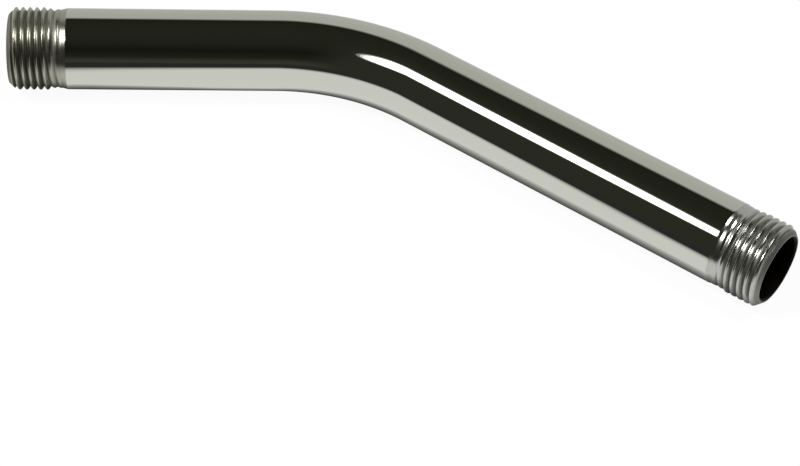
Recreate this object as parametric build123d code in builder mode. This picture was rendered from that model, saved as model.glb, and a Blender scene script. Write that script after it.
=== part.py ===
"""Bent shower arm: one plated pipe, bent once and threaded outside at both ends.

The arm lies flat, as it comes to rest. Its bend is in the XY plane, the inlet face
is centred on the origin, the inlet leg runs along +X and the outlet leg turns
towards -Y. In use the arm is turned so that -Y points down.
"""

import os
from math import radians, tan

from build123d import *

# Driving dimensions, in millimetres and degrees
tube_diameter = 21.34  # outside of half-inch pipe
wall_thickness = 2.3
inlet_leg = 70.0  # straight run from the inlet face to the bend
outlet_leg = 107.5  # straight run from the bend to the outlet face
bend_radius = 59.0  # to the pipe's centreline
bend_angle = 40.0
inlet_thread_length = 15.2  # from the inlet face to the full pipe
outlet_thread_length = 14.6  # from the outlet face to the full pipe
thread_pitch = 25.4 / 14
thread_depth = 1.1  # from the thread's crests to its roots
flank_angle = 30.0  # of each side of a ridge, from square to the pipe
crest_rise = 0.16  # the crests stand this far over the pipe's surface
lead_in = 1.68  # chamfer at the start of each thread
neck_step = 0.27  # the neck behind the last ridge lies this far under the pipe's surface
runout_length = 1.2  # cone from the neck up to the full pipe
mouth_chamfer = 0.45  # reamed inside edge of each mouth

# Radii and lengths that follow from them
tube_radius = tube_diameter / 2
bore_radius = tube_radius - wall_thickness
crest_radius = tube_radius + crest_rise
root_radius = crest_radius - thread_depth
neck_radius = tube_radius - neck_step
rim_radius = crest_radius - lead_in
flank = thread_depth * tan(radians(flank_angle))  # length of a ridge's side along the pipe

with BuildPart() as shower_arm:
    # The pipe between the threads: its ring section swept along a straight run, a bend
    # and a second straight run
    with BuildLine() as centreline:
        inlet_run = Line((inlet_thread_length, 0), (inlet_leg, 0))
        bend = JernArc(inlet_run @ 1, inlet_run % 1, bend_radius, -bend_angle)
        outlet_run = Line(bend @ 1, bend @ 1 + (bend % 1) * (outlet_leg - outlet_thread_length))
    with BuildSketch(Plane(origin=inlet_run @ 0, z_dir=inlet_run % 0)):
        Circle(tube_radius)
        Circle(bore_radius, mode=Mode.SUBTRACT)
    sweep(path=centreline.line)

    # The threaded ends, each revolved from its half section: the reamed mouth, the lead-in
    # chamfer, the ridges, a neck and the run-out cone. The ridges are rings one pitch apart;
    # the thread's lead isn't drawn.
    for pipe_end, outward, thread_length in (
        (inlet_run @ 0, -(inlet_run % 0), inlet_thread_length),
        (outlet_run @ 1, outlet_run % 1, outlet_thread_length),
    ):
        face_centre = pipe_end + outward * thread_length
        grooves = int((thread_length - lead_in - runout_length) / thread_pitch) - 1
        ridges = []
        for ridge in range(grooves + 1):
            crest_start = lead_in + ridge * thread_pitch
            crest_end = crest_start + thread_pitch - 2 * flank
            foot_radius = root_radius if ridge < grooves else neck_radius
            ridges += [(crest_start, crest_radius), (crest_end, crest_radius), (crest_end + flank, foot_radius)]
        with BuildSketch(Plane(origin=face_centre, x_dir=-outward, z_dir=(0, 0, 1))):
            with BuildLine():
                Polyline(
                    (mouth_chamfer, bore_radius),
                    (0, bore_radius + mouth_chamfer),
                    (0, rim_radius),
                    *ridges,
                    (thread_length - runout_length, neck_radius),
                    (thread_length, tube_radius),
                    (thread_length, bore_radius),
                    close=True,
                )
            make_face()
        revolve(axis=Axis(face_centre, outward))

shower_arm.part.label = "shower_arm"
os.makedirs("parts", exist_ok=True)
export_step(shower_arm.part, "parts/shower_arm.step")
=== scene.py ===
import math

import bpy
from mathutils import Matrix, Vector


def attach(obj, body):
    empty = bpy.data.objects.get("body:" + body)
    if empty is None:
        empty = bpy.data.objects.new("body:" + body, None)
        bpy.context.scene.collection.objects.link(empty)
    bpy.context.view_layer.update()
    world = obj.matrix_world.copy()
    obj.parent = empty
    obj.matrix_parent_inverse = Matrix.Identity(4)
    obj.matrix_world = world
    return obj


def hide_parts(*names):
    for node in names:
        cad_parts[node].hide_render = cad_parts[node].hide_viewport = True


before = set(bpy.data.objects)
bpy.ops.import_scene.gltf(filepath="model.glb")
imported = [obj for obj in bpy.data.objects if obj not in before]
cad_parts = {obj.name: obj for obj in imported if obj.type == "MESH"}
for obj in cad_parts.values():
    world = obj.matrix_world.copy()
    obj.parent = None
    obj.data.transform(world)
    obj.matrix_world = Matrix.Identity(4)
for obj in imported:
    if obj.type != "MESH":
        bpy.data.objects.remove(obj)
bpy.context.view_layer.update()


# The arm is one half-inch brass pipe: cut, bent round a former, threaded at both ends with a die,
# its edges broken, then buffed and plated with nickel and chrome. Nothing is fixed to it.
# The thread is right-handed, 14 turns to the inch, and runs out into the full pipe at each end.
MM = 0.001
PITCH = 25.4 / 14 * MM
INLET_LEG, OUTLET_LEG = 70.0 * MM, 107.5 * MM
BEND_ANGLE = math.radians(40.0)
AROUND, BEND_POINTS = 160, 96  # faces of mesh round the pipe, and points of its route round the bend
ROWS_PER_TURN = 24  # rows of mesh in one turn of the thread
INLET_TURNS = 8 + 9 / ROWS_PER_TURN  # of thread, in whole rows, from each end face to the full pipe
OUTLET_TURNS = 7 + 16 / ROWS_PER_TURN
sizes = {
    "Bend Radius": 59.0 * MM,
    "Pipe Radius": 10.67 * MM,
    "Bore Radius": 8.37 * MM,
    "Rim Radius": 9.15 * MM,  # outer edge of each end face, where the lead-in chamfer starts
    "Mouth Chamfer": 0.45 * MM,
    "Thread Depth": 1.1 * MM,
    "Crest Radius": 10.83 * MM,  # the crests stand a little over the pipe, as in the solid
    "Shoulder Slope": 0.255,  # how steeply the pipe falls to the low place behind the last turn
    "Inlet Shoulder": 1.3 * MM,
    "Outlet Shoulder": 0.6 * MM,
    "Groove Start": 1.3 * MM,  # how far from the shoulder the groove starts and has its full depth
    "Groove Full": 6.0 * MM,
    "Rise Start": 3.6 * MM,  # how far from the shoulder the crests start to rise and stand full
    "Rise Full": 5.4 * MM,
    "Collar": 0.3 * MM,  # smooth shading rounds the edge of each shoulder over this length
    "Inlet Thread": INLET_TURNS * PITCH,
    "Outlet Thread": OUTLET_TURNS * PITCH,
    "Inlet Start": 0.95,  # where the thread starts round each end face, in turns
    "Outlet Start": 0.445,
}


def linear(hex_code):
    """The linear colour of an sRGB hex code."""
    parts = [int(hex_code[i:i + 2], 16) / 255 for i in (1, 3, 5)]
    return [p / 12.92 if p <= 0.04045 else ((p + 0.055) / 1.055) ** 2.4 for p in parts] + [1.0]


def add(tree, kind, inputs=None, **settings):
    """Adds a node with its settings. An input is a value, a socket, or a node for its first live output."""
    node = tree.nodes.new(kind)
    for name, value in settings.items():
        setattr(node, name, value)
    for key, value in (inputs or {}).items():
        socket = node.inputs[key] if isinstance(key, int) else next(
            s for s in node.inputs if s.name == key and s.enabled)
        if isinstance(value, bpy.types.Node):
            value = next(s for s in value.outputs if s.enabled)
        if isinstance(value, bpy.types.NodeSocket):
            tree.links.new(value, socket)
        else:
            socket.default_value = value
    return node


def new_material(name):
    """A material with an empty node tree."""
    material = bpy.data.materials.new(name)
    material.use_nodes = True
    material.node_tree.nodes.clear()
    return material


# Bright chrome plate over buffed brass: a grey mirror, slightly warm, with the faint haze and the
# slow waves that a buffing wheel leaves. The eye sees them where an edge of light runs along it.
HAZE_SIZE, WAVE_SIZE, WAVE_HEIGHT = 9.0 * MM, 6.0 * MM, 0.004 * MM
CLEAR, HAZY = 0.02, 0.04  # roughness
NOISE_LOW, NOISE_HIGH = 0.3, 0.7  # nearly all values of a noise lie between these
plate = new_material("chrome_plate_buffed")
shader = plate.node_tree
place = add(shader, "ShaderNodeTexCoord").outputs["Object"]
haze = add(shader, "ShaderNodeTexNoise", {"Vector": place, "Scale": 1 / HAZE_SIZE, "Detail": 3.0})
gloss = add(shader, "ShaderNodeMapRange", {"Value": haze, "From Min": NOISE_LOW, "From Max": NOISE_HIGH,
                                           "To Min": CLEAR, "To Max": HAZY})
wave = add(shader, "ShaderNodeTexNoise", {"Vector": place, "Scale": 1 / WAVE_SIZE, "Detail": 1.0})
bump = add(shader, "ShaderNodeBump", {"Height": wave, "Strength": 1.0, "Distance": WAVE_HEIGHT})
shine = add(shader, "ShaderNodeBsdfPrincipled", {"Base Color": linear("#BEBFB6"), "Metallic": 1.0,
                                                 "Roughness": gloss, "Normal": bump})
add(shader, "ShaderNodeOutputMaterial", {"Surface": shine})

# The same plate over a thread as the die left it: no wheel reaches it, so it keeps fine tool marks
# and shows soft lights instead of a picture of the room. The roots are rougher than the crests and are
# painted darker as shade in the grooves, and the inlet's thread, made to be hidden in the wall, is duller
# and a little yellower.
MARK_SIZE, GRAIN_SIZE = 2.5 * MM, 0.5 * MM
CLEAN_CUT, TORN_CUT = 0.15, 0.25  # roughness of the crests
ROOT_ROUGHER, INLET_ROUGHER = 0.4, 0.05  # added in the roots, and on the inlet's thread
ROOT_RADIUS, FLANK_RADIUS = 9.75 * MM, 10.4 * MM  # all root, and no longer root
INLET_SIDE, OUTLET_SIDE = 20.0 * MM, 120.0 * MM  # each thread lies beyond its own
thread_plate = new_material("chrome_plate_over_cut_thread")
shader = thread_plate.node_tree
place = add(shader, "ShaderNodeTexCoord").outputs["Object"]
mark = add(shader, "ShaderNodeTexNoise", {"Vector": place, "Scale": 1 / MARK_SIZE, "Detail": 4.0})
gloss = add(shader, "ShaderNodeMapRange", {"Value": mark, "From Min": NOISE_LOW, "From Max": NOISE_HIGH,
                                           "To Min": CLEAN_CUT, "To Max": TORN_CUT})
grain = add(shader, "ShaderNodeTexNoise", {"Vector": place, "Scale": 1 / GRAIN_SIZE, "Detail": 2.0})
tint = add(shader, "ShaderNodeMix", {"Factor": grain, "A": linear("#A5A5A0"), "B": linear("#B9B9B4")},
           data_type="RGBA")
radius = add(shader, "ShaderNodeAttribute", attribute_name="radius").outputs["Fac"]
in_root = add(shader, "ShaderNodeMapRange", {"Value": radius, "From Min": ROOT_RADIUS,
                                             "From Max": FLANK_RADIUS, "To Min": 1.0, "To Max": 0.0})
# painted shade: the roots are darkened towards a deep grey, as if shade fell in the grooves
tint = add(shader, "ShaderNodeMix", {"Factor": in_root, "A": tint, "B": linear("#858580")},
           data_type="RGBA")
gloss = add(shader, "ShaderNodeMath", {0: in_root, 1: ROOT_ROUGHER, 2: gloss}, operation="MULTIPLY_ADD")
inlet_side = add(shader, "ShaderNodeMapRange", {
    "Value": add(shader, "ShaderNodeSeparateXYZ", {0: place}).outputs["X"],
    "From Min": INLET_SIDE, "From Max": OUTLET_SIDE, "To Min": 1.0, "To Max": 0.0})
tint = add(shader, "ShaderNodeMix", {"Factor": inlet_side, "A": tint, "B": linear("#E6E5DB")},
           data_type="RGBA", blend_type="MULTIPLY")
gloss = add(shader, "ShaderNodeMath", {0: inlet_side, 1: INLET_ROUGHER, 2: gloss},
            operation="MULTIPLY_ADD")
shine = add(shader, "ShaderNodeBsdfPrincipled", {"Base Color": tint, "Metallic": 1.0, "Roughness": gloss})
add(shader, "ShaderNodeOutputMaterial", {"Surface": shine})

# The bore stays bare brass, browned by pickling: plating hardly throws into a long tube.
# It gives back little light, so each mouth looks black.
STAIN_SIZE = 3.0 * MM
BROWNED = 0.65  # roughness
bare_brass = new_material("bare_brass_pickled_bore")
shader = bare_brass.node_tree
place = add(shader, "ShaderNodeTexCoord").outputs["Object"]
stain = add(shader, "ShaderNodeTexNoise", {"Vector": place, "Scale": 1 / STAIN_SIZE, "Detail": 5.0})
tint = add(shader, "ShaderNodeMix", {"Factor": stain, "A": linear("#0E0C0A"), "B": linear("#1A1713")},
           data_type="RGBA")
shine = add(shader, "ShaderNodeBsdfPrincipled", {"Base Color": tint, "Metallic": 1.0, "Roughness": BROWNED})
add(shader, "ShaderNodeOutputMaterial", {"Surface": shine})

# The tree takes the two legs as a line of three points and rounds its corner to the bend.
tree = bpy.data.node_groups.new("threaded_pipe", "GeometryNodeTree")
tree.interface.new_socket("Geometry", in_out="INPUT", socket_type="NodeSocketGeometry")
tree.interface.new_socket("Geometry", in_out="OUTPUT", socket_type="NodeSocketGeometry")
identifiers = {}
for name in sizes:
    socket = tree.interface.new_socket(name, in_out="INPUT", socket_type="NodeSocketFloat")
    identifiers[name] = socket.identifier
given = add(tree, "NodeGroupInput").outputs
legs = add(tree, "GeometryNodeMeshToCurve", {"Mesh": given["Geometry"]})
route = add(tree, "GeometryNodeFilletCurve", {"Curve": legs, "Count": BEND_POINTS,
                                              "Radius": given["Bend Radius"]}, mode="POLY")
whole = add(tree, "GeometryNodeCurveLength", {"Curve": route})

# Every stretch of surface starts as a flat grid, one by one about its middle: its X is the way along,
# its Y the way round.
grid_place = add(tree, "ShaderNodeSeparateXYZ", {0: add(tree, "GeometryNodeInputPosition")})
along = add(tree, "ShaderNodeMath", {0: grid_place.outputs["X"], 1: 0.5}, operation="ADD")
turn = add(tree, "ShaderNodeMath", {0: grid_place.outputs["Y"], 1: 0.5}, operation="ADD")

# The thread's radius at a station: a shoulder down from the pipe, then the crests, less the groove,
# whose depth grows over the run-out, and all of it inside the lead-in chamfer.
station = add(tree, "GeometryNodeInputNamedAttribute", {"Name": "station"}, data_type="FLOAT")
from_far_end = add(tree, "ShaderNodeMath", {0: whole, 1: station}, operation="SUBTRACT")
from_face = add(tree, "ShaderNodeMath", {0: station, 1: from_far_end}, operation="MINIMUM")
at_outlet = add(tree, "FunctionNodeCompare", {0: station, 1: from_far_end}, operation="GREATER_THAN")
thread_length = add(tree, "GeometryNodeSwitch", {"Switch": at_outlet, "False": given["Inlet Thread"],
                                                 "True": given["Outlet Thread"]}, input_type="FLOAT")
shoulder_length = add(tree, "GeometryNodeSwitch", {"Switch": at_outlet, "False": given["Inlet Shoulder"],
                                                   "True": given["Outlet Shoulder"]}, input_type="FLOAT")
from_shoulder = add(tree, "ShaderNodeMath", {0: thread_length, 1: from_face}, operation="SUBTRACT")
on_shoulder = add(tree, "ShaderNodeMath", {0: from_shoulder, 1: shoulder_length}, operation="MINIMUM")
fall = add(tree, "ShaderNodeMath", {0: on_shoulder, 1: given["Shoulder Slope"]}, operation="MULTIPLY")
shoulder = add(tree, "ShaderNodeMath", {0: given["Pipe Radius"], 1: fall}, operation="SUBTRACT")
crests = add(tree, "ShaderNodeMapRange", {
    "Value": from_shoulder, "From Min": given["Rise Start"], "From Max": given["Rise Full"],
    "To Min": shoulder, "To Max": given["Crest Radius"]}, interpolation_type="SMOOTHSTEP")
run_out = add(tree, "ShaderNodeMapRange", {
    "Value": from_shoulder, "From Min": given["Groove Start"], "From Max": given["Groove Full"],
    "To Min": 0.0, "To Max": given["Thread Depth"]})

# Across one pitch the groove has straight flanks, a sharp root and rounded crests.
HALF_PITCH, HALF_CREST = 0.5, 0.1  # in pitches
CREST_ROUNDING = 0.25  # as a share of the groove's depth
phase = add(tree, "GeometryNodeInputNamedAttribute", {"Name": "phase"}, data_type="FLOAT")
from_crest = add(tree, "ShaderNodeMath", {0: phase, 1: HALF_PITCH}, operation="PINGPONG")
flank = add(tree, "ShaderNodeMapRange", {"Value": from_crest, "From Min": HALF_CREST, "From Max": HALF_PITCH,
                                         "To Min": 0.0, "To Max": 1.0}, clamp=False)
groove_form = add(tree, "ShaderNodeMath", {0: flank, 1: 0.0, 2: CREST_ROUNDING}, operation="SMOOTH_MAX")
groove = add(tree, "ShaderNodeMath", {0: groove_form, 1: run_out}, operation="MULTIPLY")
cut = add(tree, "ShaderNodeMath", {0: crests, 1: groove}, operation="SUBTRACT")
chamfer = add(tree, "ShaderNodeMath", {0: given["Rim Radius"], 1: from_face}, operation="ADD")
thread_radius = add(tree, "ShaderNodeMath", {0: cut, 1: chamfer}, operation="MINIMUM")

# The two threads. Their rows of mesh follow the helix: each climbs one pitch in one turn, and stops
# at the face or the shoulder.
POLISHED, THREADED, BARE = 0, 1, 2
inlet_end, near_mouth = given["Inlet Thread"], given["Mouth Chamfer"]
outlet_start = add(tree, "ShaderNodeMath", {0: whole, 1: given["Outlet Thread"]}, operation="SUBTRACT")
stretches = []  # rows of mesh, finish, and station, turns of thread and radius at each point
for first, last, start, turns in ((0.0, inlet_end, given["Inlet Start"], INLET_TURNS),
                                  (outlet_start, whole, given["Outlet Start"], OUTLET_TURNS)):
    climb = add(tree, "ShaderNodeMath", {0: along, 1: turns + 1, 2: turn}, operation="MULTIPLY_ADD")
    climbed = add(tree, "ShaderNodeMath", {0: climb, 1: 1.0}, operation="SUBTRACT")
    way = add(tree, "ShaderNodeMath", {0: climbed, 1: turns}, operation="DIVIDE", use_clamp=True)
    at = add(tree, "ShaderNodeMapRange", {"Value": way, "To Min": first, "To Max": last})
    turned = add(tree, "ShaderNodeMath", {0: along, 1: turns + 1, 2: start}, operation="MULTIPLY_ADD")
    stretches.append((round((turns + 1) * ROWS_PER_TURN), THREADED, at, turned, thread_radius))

# The plain stretches, once round the wall of the pipe: outside, outlet face, bore and inlet face
BEND_END = INLET_LEG + sizes["Bend Radius"] * BEND_ANGLE
BEND_ROWS, BORE_ROWS, FACE_ROWS, CHAMFER_ROWS = 64, 48, 3, 2  # of mesh
inlet_collar = add(tree, "ShaderNodeMath", {0: inlet_end, 1: given["Collar"]}, operation="ADD")
outlet_collar = add(tree, "ShaderNodeMath", {0: outlet_start, 1: given["Collar"]}, operation="SUBTRACT")
far_mouth = add(tree, "ShaderNodeMath", {0: whole, 1: near_mouth}, operation="SUBTRACT")
pipe, bore, rim = given["Pipe Radius"], given["Bore Radius"], given["Rim Radius"]
mouth_edge = add(tree, "ShaderNodeMath", {0: bore, 1: near_mouth}, operation="ADD")
for first, last, first_radius, last_radius, rows, finish in (
        (inlet_end, inlet_collar, pipe, pipe, 1, POLISHED),
        (inlet_collar, INLET_LEG, pipe, pipe, 1, POLISHED),
        (INLET_LEG, BEND_END, pipe, pipe, BEND_ROWS, POLISHED),
        (BEND_END, outlet_collar, pipe, pipe, 1, POLISHED),
        (outlet_collar, outlet_start, pipe, pipe, 1, POLISHED),
        (whole, whole, rim, mouth_edge, FACE_ROWS, THREADED),
        (whole, far_mouth, mouth_edge, bore, CHAMFER_ROWS, BARE),
        (far_mouth, near_mouth, bore, bore, BORE_ROWS, BARE),
        (near_mouth, 0.0, bore, mouth_edge, CHAMFER_ROWS, BARE),
        (0.0, 0.0, mouth_edge, rim, FACE_ROWS, THREADED)):
    at = add(tree, "ShaderNodeMapRange", {"Value": along, "To Min": first, "To Max": last})
    radius = add(tree, "ShaderNodeMapRange", {"Value": along, "To Min": first_radius, "To Max": last_radius})
    stretches.append((rows, finish, at, 0.0, radius))

skin = add(tree, "GeometryNodeJoinGeometry")
for rows, finish, at, turned, radius in stretches:
    stretch = add(tree, "GeometryNodeMeshGrid", {"Size X": 1.0, "Size Y": 1.0, "Vertices X": rows + 1,
                                                 "Vertices Y": AROUND + 1})
    for name, value, kind, domain in (("station", at, "FLOAT", "POINT"), ("phase", turned, "FLOAT", "POINT"),
                                      ("radius", radius, "FLOAT", "POINT"),
                                      ("finish", finish, "INT", "FACE")):
        stretch = add(tree, "GeometryNodeStoreNamedAttribute",
                      {"Geometry": stretch, "Name": name, "Value": value}, data_type=kind, domain=domain)
    tree.links.new(stretch.outputs[0], skin.inputs[0])

# The grids wrap round the route, their seams close, and the edges of the end faces stay sharp.
WELD, SHARP_ANGLE = 0.004 * MM, math.radians(38.0)
sample = add(tree, "GeometryNodeSampleCurve", {"Curves": route, "Length": station}, mode="LENGTH",
             use_all_curves=True)
sideways = add(tree, "ShaderNodeVectorMath", {0: sample.outputs["Tangent"], 1: (0.0, 0.0, 1.0)},
               operation="CROSS_PRODUCT")
angle = add(tree, "ShaderNodeMath", {0: turn, 1: math.tau}, operation="MULTIPLY")
radius = add(tree, "GeometryNodeInputNamedAttribute", {"Name": "radius"}, data_type="FLOAT")
up = add(tree, "ShaderNodeMath", {0: add(tree, "ShaderNodeMath", {0: angle}, operation="COSINE"),
                                  1: radius}, operation="MULTIPLY")
aside = add(tree, "ShaderNodeMath", {0: add(tree, "ShaderNodeMath", {0: angle}, operation="SINE"),
                                     1: radius}, operation="MULTIPLY")
lifted = add(tree, "ShaderNodeVectorMath", {0: sample.outputs["Position"],
                                            1: add(tree, "ShaderNodeCombineXYZ", {"Z": up})},
             operation="ADD")
spot = add(tree, "ShaderNodeVectorMath", {0: sideways, "Scale": aside}, operation="SCALE")
spot = add(tree, "ShaderNodeVectorMath", {0: lifted, 1: spot}, operation="ADD")
shape = add(tree, "GeometryNodeSetPosition", {"Geometry": skin, "Position": spot})
shape = add(tree, "GeometryNodeMergeByDistance", {"Geometry": shape, "Distance": WELD})
shape = add(tree, "GeometryNodeFlipFaces", {"Mesh": shape})  # wrapped this way round, they look inward
shape = add(tree, "GeometryNodeSetShadeSmooth", {"Geometry": shape, "Shade Smooth": True})
sharp = add(tree, "FunctionNodeCompare", {0: add(tree, "GeometryNodeInputMeshEdgeAngle"), 1: SHARP_ANGLE},
            operation="GREATER_THAN")
shape = add(tree, "GeometryNodeSetShadeSmooth", {"Geometry": shape, "Selection": sharp,
                                                 "Shade Smooth": False}, domain="EDGE")
shape = add(tree, "GeometryNodeRealizeInstances", {"Geometry": shape})
finish_of = add(tree, "GeometryNodeInputNamedAttribute", {"Name": "finish"}, data_type="INT")
for finish, material in ((POLISHED, plate), (THREADED, thread_plate), (BARE, bare_brass)):
    is_finish = add(tree, "FunctionNodeCompare", {"A": finish_of, "B": finish}, data_type="INT",
                    operation="EQUAL")
    shape = add(tree, "GeometryNodeSetMaterial", {"Geometry": shape, "Selection": is_finish,
                                                  "Material": material})
add(tree, "NodeGroupOutput", {"Geometry": shape})

# The three points of the legs: inlet, corner and outlet
corner_reach = sizes["Bend Radius"] * math.tan(BEND_ANGLE / 2)
corner = Vector((INLET_LEG + corner_reach, 0.0, 0.0))
outlet_axis = Vector((math.cos(BEND_ANGLE), -math.sin(BEND_ANGLE), 0.0))
outlet = corner + outlet_axis * (corner_reach + OUTLET_LEG)
legs_mesh = bpy.data.meshes.new("legs")
legs_mesh.from_pydata([(0.0, 0.0, 0.0), corner, outlet], [(0, 1), (1, 2)], [])
arm = bpy.data.objects.new("plated_pipe", legs_mesh)
bpy.context.scene.collection.objects.link(arm)
maker = arm.modifiers.new("threaded_pipe", "NODES")
maker.node_group = tree
for name, value in sizes.items():
    maker[identifiers[name]] = value
finished = bpy.data.meshes.new_from_object(arm.evaluated_get(bpy.context.evaluated_depsgraph_get()))
arm.modifiers.remove(maker)
arm.data = finished
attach(arm, "root")
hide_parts("shower_arm")


# The arm lies loose on a table with a plain sheet of matt white paper. To the camera the paper is
# white but for a little of the arm's shadow. In the chrome it shows painted light and shade: painted
# bright behind the arm, fading towards a painted dark front.
TABLE_TOP, TABLE_HALF = -sizes["Crest Radius"], 3.0
table_corners = [(x, y, TABLE_TOP) for x, y in ((-TABLE_HALF, -TABLE_HALF), (TABLE_HALF, -TABLE_HALF),
                                                (TABLE_HALF, TABLE_HALF), (-TABLE_HALF, TABLE_HALF))]
table_mesh = bpy.data.meshes.new("table")
table_mesh.from_pydata(table_corners, [], [(0, 1, 2, 3)])
table = bpy.data.objects.new("table", table_mesh)
bpy.context.scene.collection.objects.link(table)

# Behind and beside are measured from the inlet, across and along the line of the two ends. At the
# outlet the painted light on the paper reaches further forward.
LINE_OF_ENDS = outlet.normalized()
ACROSS = (-LINE_OF_ENDS.y, LINE_OF_ENDS.x, 0.0)
FRONT, MIDDLE, DIMMING, BACK = -52.0 * MM, -16.0 * MM, 24.0 * MM, 44.0 * MM
FRONT_LIGHT, MIDDLE_LIGHT, BACK_SHARE = 0.038, 1.06, 0.6
LEAD_START, LEAD_END, LEAD = 145.0 * MM, 195.0 * MM, 12.0 * MM
paper = new_material("white_paper_with_painted_light")
shader = paper.node_tree
place = add(shader, "ShaderNodeTexCoord").outputs["Object"]
behind = add(shader, "ShaderNodeVectorMath", {0: place, 1: ACROSS}, operation="DOT_PRODUCT")
beside = add(shader, "ShaderNodeVectorMath", {0: place, 1: LINE_OF_ENDS}, operation="DOT_PRODUCT")
lead = add(shader, "ShaderNodeMapRange", {"Value": beside, "From Min": LEAD_START, "From Max": LEAD_END,
                                          "To Min": 0.0, "To Max": LEAD}, interpolation_type="SMOOTHSTEP")
ahead = add(shader, "ShaderNodeMath", {0: behind, 1: lead}, operation="ADD")
fade = add(shader, "ShaderNodeMapRange", {"Value": ahead, "From Min": FRONT, "From Max": MIDDLE,
                                          "To Min": FRONT_LIGHT, "To Max": MIDDLE_LIGHT},
           interpolation_type="SMOOTHSTEP")
# painted shade: far behind the arm the painted light on the paper dims again
dim = add(shader, "ShaderNodeMapRange", {"Value": behind, "From Min": DIMMING, "From Max": BACK,
                                         "To Min": 1.0, "To Max": BACK_SHARE},
          interpolation_type="SMOOTHSTEP")
fade = add(shader, "ShaderNodeMath", {0: fade, 1: dim}, operation="MULTIPLY")

# Where the pipe nearly touches the sheet, a painted contact shadow darkens the paper as the chrome
# sees it, so the chrome mirrors a dark line. This painted shade reaches further out under the
# inlet's thread and from the bend onwards.
SHADE_POWER = 2.0
shade_reach = 10.0 * MM  # at the inlet's face
to_right = add(shader, "ShaderNodeSeparateXYZ", {0: place}).outputs["X"]
for start, end, next_reach in ((7.0, 14.0, 4.8), (20.0, 55.0, 3.2), (70.0, 115.0, 7.4)):
    shade_reach = add(shader, "ShaderNodeMapRange", {"Value": to_right, "From Min": start * MM,
                                                     "From Max": end * MM, "To Min": shade_reach,
                                                     "To Max": next_reach * MM})
contact = add(shader, "ShaderNodeAmbientOcclusion", {"Distance": shade_reach}).outputs["AO"]
shade = add(shader, "ShaderNodeMath", {0: contact, 1: SHADE_POWER}, operation="POWER")
fade = add(shader, "ShaderNodeMath", {0: fade, 1: shade}, operation="MULTIPLY")

# For most of what the camera and the chrome see of it, the paper shines by itself: evenly white to
# the camera, and with its painted light and shade to the chrome. The rest is lit, and holds the shadow.
PAPER_WHITE, CAMERA_GLOW, MIRROR_GLOW = 0.9, 0.95, 0.9
ray = add(shader, "ShaderNodeLightPath").outputs
mirrored = add(shader, "ShaderNodeMath", {0: ray["Is Glossy Ray"], 1: ray["Is Transmission Ray"]},
               operation="MAXIMUM")
seen = add(shader, "ShaderNodeMix", {"Factor": mirrored, "A": 1.0, "B": fade})
colour = add(shader, "ShaderNodeMath", {0: seen, 1: PAPER_WHITE}, operation="MULTIPLY")
lit = add(shader, "ShaderNodeBsdfDiffuse", {"Color": colour})
glow = add(shader, "ShaderNodeEmission", {"Color": linear("#FFFFFF"), "Strength": seen})
camera_share = add(shader, "ShaderNodeMath", {0: ray["Is Camera Ray"], 1: CAMERA_GLOW}, operation="MULTIPLY")
share = add(shader, "ShaderNodeMath", {0: mirrored, 1: MIRROR_GLOW, 2: camera_share},
            operation="MULTIPLY_ADD")
sheet = add(shader, "ShaderNodeMixShader", {0: share, 1: lit, 2: glow})
add(shader, "ShaderNodeOutputMaterial", {"Surface": sheet})
table.data.materials.append(paper)


# The room is white to the camera. The chrome sees a pale wall behind the arm up to half height, and
# a dark ceiling and front, a little lighter on the left, as in a studio. The plain fill is for
# everything that isn't shiny.
FILL = 0.12
WALL_FULL, WALL_TOP = math.sin(math.radians(40.5)), math.sin(math.radians(49.5))
WALL_SIDE, WALL_BACK, LEFT_START, LEFT_FULL = 0.0, 0.35, -0.2, -0.6  # shares of a ray's direction
world = bpy.data.worlds.new("studio")
bpy.context.scene.world = world
world.use_nodes = True
shader = world.node_tree
shader.nodes.clear()
direction = add(shader, "ShaderNodeSeparateXYZ",
                {0: add(shader, "ShaderNodeTexCoord").outputs["Generated"]}).outputs
low = add(shader, "ShaderNodeMapRange", {"Value": direction["Z"], "From Min": WALL_FULL,
                                         "From Max": WALL_TOP, "To Min": 1.0, "To Max": 0.0},
          interpolation_type="SMOOTHSTEP")
to_back = add(shader, "ShaderNodeMapRange", {"Value": direction["Y"], "From Min": WALL_SIDE,
                                             "From Max": WALL_BACK, "To Min": 0.0, "To Max": 1.0},
              interpolation_type="SMOOTHSTEP")
wall = add(shader, "ShaderNodeMath", {0: low, 1: to_back}, operation="MULTIPLY")
dusk = add(shader, "ShaderNodeValToRGB", {"Fac": direction["Z"]})
steps = dusk.color_ramp.elements
steps[0].position, steps[0].color = 0.0, linear("#48493F")
steps[1].position, steps[1].color = 1.0, linear("#2F3028")
for height, tone in ((0.12, "#45463C"), (0.3, "#2B2C24"), (0.6, "#1E1F18"), (0.85, "#2C2D25")):
    steps.new(height).color = linear(tone)
to_left = add(shader, "ShaderNodeMapRange", {"Value": direction["X"], "From Min": LEFT_START,
                                             "From Max": LEFT_FULL, "To Min": 0.0, "To Max": 1.0},
              interpolation_type="SMOOTHSTEP")
room = add(shader, "ShaderNodeMix", {"Factor": to_left, "A": dusk.outputs["Color"], "B": linear("#393A32")},
           data_type="RGBA")
room = add(shader, "ShaderNodeMix", {"Factor": wall, "A": room, "B": linear("#D8D9D4")}, data_type="RGBA")
ray = add(shader, "ShaderNodeLightPath").outputs
mirrored = add(shader, "ShaderNodeMath", {0: ray["Is Glossy Ray"], 1: ray["Is Transmission Ray"]},
               operation="MAXIMUM")
unseen = add(shader, "ShaderNodeMix", {"Factor": mirrored, "A": (FILL, FILL, FILL, 1.0), "B": room},
             data_type="RGBA")
seen = add(shader, "ShaderNodeMix", {"Factor": ray["Is Camera Ray"], "A": unseen, "B": linear("#FFFFFF")},
           data_type="RGBA")
sky = add(shader, "ShaderNodeBackground", {"Color": seen, "Strength": 1.0})
add(shader, "ShaderNodeOutputWorld", {"Surface": sky})


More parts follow.
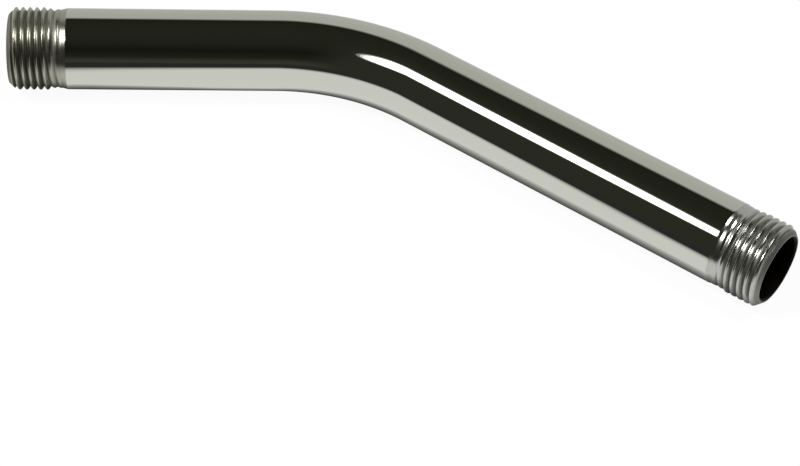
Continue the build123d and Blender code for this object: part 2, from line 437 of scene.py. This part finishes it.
# One large oval soft box hangs level, high on the left. It is brightest in its middle, dims towards
# its edge, and draws the long light down the outlet leg. A small box overhead only shows in the
# threads and on their shoulders.
SOFT_TURN = math.radians(17.0)
for name, centre, width, depth, brightness, turned in (
        ("soft_box_middle", (-1.122, -0.322, 1.505), 0.42, 0.58, 56.0, SOFT_TURN),
        ("soft_box", (-1.122, -0.327, 1.5), 0.68, 0.96, 4.5, SOFT_TURN),
        ("soft_box_cloth", (-1.122, -0.327, 1.495), 0.78, 1.07, 1.0, SOFT_TURN),
        ("soft_box_hem", (-1.122, -0.327, 1.49), 0.88, 1.17, 0.35, SOFT_TURN),
        ("top_box", (0.46, -0.06, 1.5), 0.34, 0.66, 20.0, 0.0)):
    lamp = bpy.data.lights.new(name, "AREA")
    lamp.shape = "ELLIPSE"
    lamp.size, lamp.size_y = width, depth
    lamp.energy = brightness * math.pi * (math.pi / 4 * width * depth)  # pi times the oval's area
    lamp_object = bpy.data.objects.new(name, lamp)
    lamp_object.location = centre
    lamp_object.rotation_euler.z = turned
    bpy.context.scene.collection.objects.link(lamp_object)


# The camera looks down on the arm from the front, close enough for the outlet to look larger.
# Its place was fitted to the pipe's outline, for a pipe of this diameter.
YAW, ELEVATION, ROLL = math.radians(-5.5211), math.radians(42.9946), math.radians(3.9792)
DISTANCE, FOCAL_PIXELS, PICTURE_WIDTH = 508.0127 * MM, 2098.1905, 800
TARGET = Vector((99.4641, -70.6697, 0.0167)) * MM
back_axis = Vector((math.sin(YAW) * math.cos(ELEVATION), -math.cos(YAW) * math.cos(ELEVATION),
                    math.sin(ELEVATION)))
level = Vector((math.cos(YAW), math.sin(YAW), 0.0))
upright = back_axis.cross(level)
right_axis = math.cos(ROLL) * level + math.sin(ROLL) * upright
up_axis = -math.sin(ROLL) * level + math.cos(ROLL) * upright
eye = TARGET + back_axis * DISTANCE
lens = bpy.data.cameras.new("camera")
lens.sensor_fit, lens.sensor_width = "HORIZONTAL", 36.0
lens.lens = FOCAL_PIXELS / PICTURE_WIDTH * lens.sensor_width
lens.clip_start, lens.clip_end = 0.01, 50.0
camera = bpy.data.objects.new("camera", lens)
turn_to = Matrix((right_axis, up_axis, back_axis)).transposed().to_4x4()
camera.matrix_world = Matrix.Translation(eye) @ turn_to
bpy.context.scene.collection.objects.link(camera)
bpy.context.scene.camera = camera
bpy.context.scene.view_settings.view_transform = "Standard"
